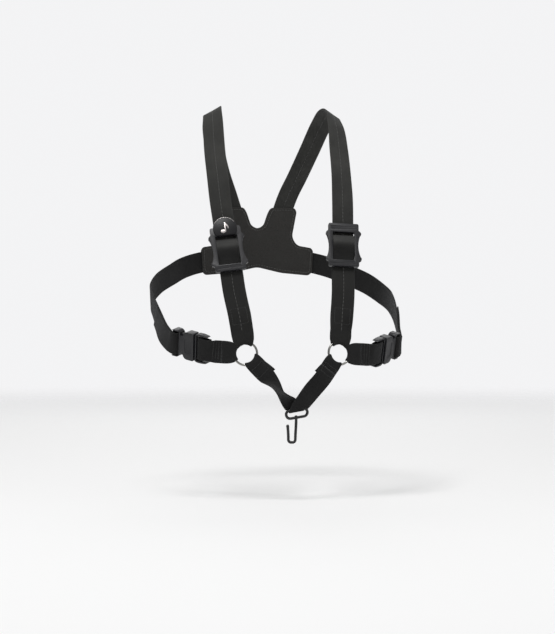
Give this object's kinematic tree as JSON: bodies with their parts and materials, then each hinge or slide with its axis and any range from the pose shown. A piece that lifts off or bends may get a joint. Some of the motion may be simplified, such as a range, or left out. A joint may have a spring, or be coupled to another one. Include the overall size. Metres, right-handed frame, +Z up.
{
  "type": "saxophone neck strap",
  "caption": "Two-shoulder saxophone harness: webbing bands with sliders, rings, side release buckles, a back yoke and a V strap with an open hook.",
  "frame": {"origin": "midway between the two shoulder crests, at the underside of the shoulder bands", "axes": "+Z up, the wearer faces -Y, +X to the wearer's left"},
  "size_m": [0.2902, 0.2291, 0.3842],
  "materials": {
    "band_webbing": "woven nylon webbing, matt, stitched along its middle",
    "strap_webbing": "woven nylon webbing, matt",
    "moulded_plastic": "moulded acetal, satin",
    "ring_steel": "bright nickel plate",
    "badge_face": "glossy black face",
    "badge_silver": "silver foil",
    "coated_wire": "black plastic coating over steel wire",
    "yoke_leather": "black grained leather",
    "yoke_lining": "soft split leather"
  },
  "bodies": {
    "root": {"left_shoulder_band": "band_webbing", "left_chest_strap": "strap_webbing", "left_buckle_male": "moulded_plastic", "left_side_strap": "strap_webbing", "right_shoulder_band": "band_webbing", "right_chest_strap": "strap_webbing", "right_buckle_male": "moulded_plastic", "right_side_strap": "strap_webbing", "v_strap": "strap_webbing", "yoke_outer": "yoke_leather", "yoke_lining": "yoke_lining"},
    "left_adjuster": {"left_slider": "moulded_plastic", "left_slider_wrap": "band_webbing", "slider_badge": "badge_face", "badge_rim": "badge_silver", "badge_note": "badge_silver"},
    "right_adjuster": {"right_slider": "moulded_plastic", "right_slider_wrap": "band_webbing"},
    "left_ring": {"left_o_ring": "ring_steel"},
    "left_clip": {"left_buckle_female": "moulded_plastic"},
    "left_upper_spring": {"left_prong_upper": "moulded_plastic"},
    "left_lower_spring": {"left_prong_lower": "moulded_plastic"},
    "right_ring": {"right_o_ring": "ring_steel"},
    "right_clip": {"right_buckle_female": "moulded_plastic"},
    "right_upper_spring": {"right_prong_upper": "moulded_plastic"},
    "right_lower_spring": {"right_prong_lower": "moulded_plastic"},
    "hook_swing": {"hook": "coated_wire"}
  },
  "joints": [
    {"name": "left_slider_slide", "type": "slide", "parent": "root", "child": "left_adjuster", "axis": [-0.0762, 0.3765, 0.9233], "range_m": [-0.02, 0.025]},
    {"name": "right_slider_slide", "type": "slide", "parent": "root", "child": "right_adjuster", "axis": [0.0762, 0.3765, 0.9233], "range_m": [-0.02, 0.025]},
    {"name": "left_ring_turn", "type": "hinge", "parent": "root", "child": "left_ring", "pos_m": [-0.0526, -0.113, -0.277], "axis": [-0.2011, -0.9663, 0.161], "continuous": true},
    {"name": "right_ring_turn", "type": "hinge", "parent": "root", "child": "right_ring", "pos_m": [0.0526, -0.113, -0.277], "axis": [0.2011, -0.9663, 0.161], "continuous": true},
    {"name": "left_buckle_release", "type": "slide", "parent": "root", "child": "left_clip", "axis": [-0.7207, 0.6606, 0.2102], "range_m": [0, 0.03], "deforming": ["left_side_strap", "left_prong_upper", "left_prong_lower"]},
    {"name": "right_buckle_release", "type": "slide", "parent": "root", "child": "right_clip", "axis": [0.7207, 0.6606, 0.2102], "range_m": [0, 0.03], "deforming": ["right_side_strap", "right_prong_upper", "right_prong_lower"]},
    {"name": "left_prong_upper_press", "type": "hinge", "parent": "root", "child": "left_upper_spring", "pos_m": [-0.10433, -0.09485, -0.26134], "axis": [-0.6928, -0.6748, -0.2543], "range_deg": [0, 9], "stiffness_Nm_per_rad": 0.02},
    {"name": "left_prong_lower_press", "type": "hinge", "parent": "root", "child": "left_lower_spring", "pos_m": [-0.10387, -0.08895, -0.27826], "axis": [0.6928, 0.6748, 0.2543], "range_deg": [0, 9], "stiffness_Nm_per_rad": 0.02},
    {"name": "right_prong_upper_press", "type": "hinge", "parent": "root", "child": "right_upper_spring", "pos_m": [0.10663, -0.09495, -0.26594], "axis": [-0.6928, 0.6748, 0.2543], "range_deg": [0, 9], "stiffness_Nm_per_rad": 0.02},
    {"name": "right_prong_lower_press", "type": "hinge", "parent": "root", "child": "right_lower_spring", "pos_m": [0.10617, -0.08905, -0.28286], "axis": [0.6928, -0.6748, -0.2543], "range_deg": [0, 9], "stiffness_Nm_per_rad": 0.02},
    {"name": "hook_swing_hinge", "type": "hinge", "parent": "root", "child": "hook_swing", "pos_m": [0.004, -0.113, -0.3386], "axis": [0.9877, 0, 0.1564], "range_deg": [-75, 75]}
  ],
  "couplings": [
    {"joint": "left_prong_lower_press", "follows": "left_prong_upper_press", "ratio": 1},
    {"joint": "right_prong_lower_press", "follows": "right_prong_upper_press", "ratio": 1}
  ]
}
